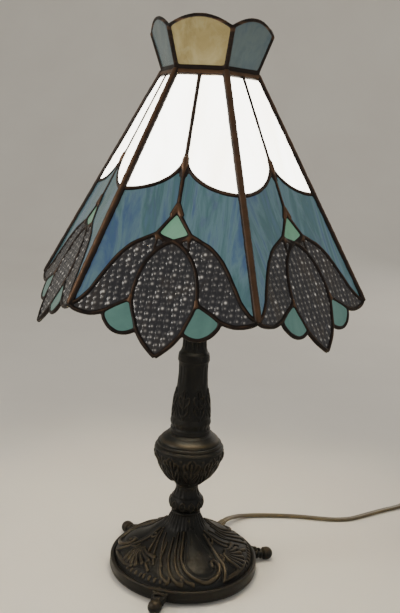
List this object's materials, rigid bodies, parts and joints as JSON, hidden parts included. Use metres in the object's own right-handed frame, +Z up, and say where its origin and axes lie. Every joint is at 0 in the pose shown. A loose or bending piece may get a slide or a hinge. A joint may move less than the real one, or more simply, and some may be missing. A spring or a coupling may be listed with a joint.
{
  "type": "stained glass table lamp",
  "caption": "Leaded glass table lamp: hexagonal shade with petal skirt and flared crown, harp, socket and bulb on a cast bronze stem and scroll-footed base.",
  "frame": {"origin": "on the table under the stem's axis, at the middle of the lamp's footprint", "axes": "+Z up along the stem; -Y out of the shade's front panel; the cord leaves the base towards +Y and +X"},
  "size_m": [0.5215, 0.4725, 0.5657],
  "materials": {
    "bronze": "antique dark bronze, worn satin highlights",
    "solder": "dark copper patina, rounded beads",
    "white_glass": "opal, glossy",
    "blue_glass": "streaky opalescent, glossy",
    "purple_glass": "dimpled dark art glass",
    "cream_glass": "opalescent, glossy",
    "grey_glass": "streaky opalescent, glossy",
    "brass": "aged satin",
    "steel": "zinc plated",
    "black_plastic": "satin",
    "porcelain": "glazed",
    "bulb_glass": "frosted, lit",
    "aluminium": "rolled thread",
    "gold_cord": "translucent gold-brown vinyl"
  },
  "bodies": {
    "root": {"base_casting": "bronze", "base_nut": "steel", "base_washer": "steel", "cord_bushing": "black_plastic", "lamp_pipe": "steel", "spool": "bronze", "urn": "bronze", "urn_cap": "bronze", "column": "bronze", "harp_saddle": "brass", "socket_cap": "brass", "socket_shell": "brass", "socket_interior": "porcelain", "inner_lead": "gold_cord", "cord": "gold_cord", "cord_coil": "gold_cord", "cord_tie": "black_plastic", "plug_body": "black_plastic", "plug_blade_left": "brass", "plug_blade_right": "brass"},
    "bulb": {"bulb_base": "aluminium", "bulb_glass": "bulb_glass"},
    "knob": {"switch_knob": "black_plastic"},
    "harp": {"harp": "brass"},
    "sleeve_left": {"harp_sleeve_left": "brass"},
    "sleeve_right": {"harp_sleeve_right": "brass"},
    "stud": {"harp_stud": "brass"},
    "shade": {"panel_frame_1": "solder", "panel_frame_2": "solder", "panel_frame_3": "solder", "panel_frame_4": "solder", "panel_frame_5": "solder", "panel_frame_6": "solder", "white_glass_1": "white_glass", "white_glass_2": "white_glass", "white_glass_3": "white_glass", "white_glass_4": "white_glass", "white_glass_5": "white_glass", "white_glass_6": "white_glass", "blue_glass_1": "blue_glass", "blue_glass_2": "blue_glass", "blue_glass_3": "blue_glass", "blue_glass_4": "blue_glass", "blue_glass_5": "blue_glass", "blue_glass_6": "blue_glass", "flower_glass_1": "purple_glass", "flower_glass_2": "purple_glass", "flower_glass_3": "purple_glass", "flower_glass_4": "purple_glass", "flower_glass_5": "purple_glass", "flower_glass_6": "purple_glass", "crown_glass_1": "cream_glass", "crown_glass_2": "grey_glass", "crown_glass_3": "cream_glass", "crown_glass_4": "grey_glass", "crown_glass_5": "cream_glass", "crown_glass_6": "grey_glass", "crown_frame": "solder", "shade_spider": "brass"},
    "finial": {"finial": "brass"}
  },
  "joints": [
    {"name": "harp_lift", "type": "slide", "parent": "root", "child": "harp", "axis": [0, 0, 1], "range_m": [0, 0.02]},
    {"name": "sleeve_left_slide", "type": "slide", "parent": "harp", "child": "sleeve_left", "axis": [0, 0, 1], "range_m": [0, 0.012]},
    {"name": "sleeve_right_slide", "type": "slide", "parent": "harp", "child": "sleeve_right", "axis": [0, 0, 1], "range_m": [0, 0.012]},
    {"name": "stud_swivel", "type": "hinge", "parent": "harp", "child": "stud", "pos_m": [0, 0, 0.512], "axis": [0, 0, 1], "continuous": true},
    {"name": "shade_lift", "type": "slide", "parent": "stud", "child": "shade", "axis": [0, 0, 1], "range_m": [0, 0.04]},
    {"name": "finial_turn", "type": "hinge", "parent": "shade", "child": "finial", "pos_m": [0, 0, 0.533], "axis": [0, 0, 1], "continuous": true},
    {"name": "bulb_turn", "type": "hinge", "parent": "root", "child": "bulb", "pos_m": [0, 0, 0.333], "axis": [0, 0, 1], "continuous": true},
    {"name": "knob_turn", "type": "hinge", "parent": "root", "child": "knob", "pos_m": [0, -0.028, 0.3121], "axis": [0, -1, 0], "continuous": true}
  ]
}
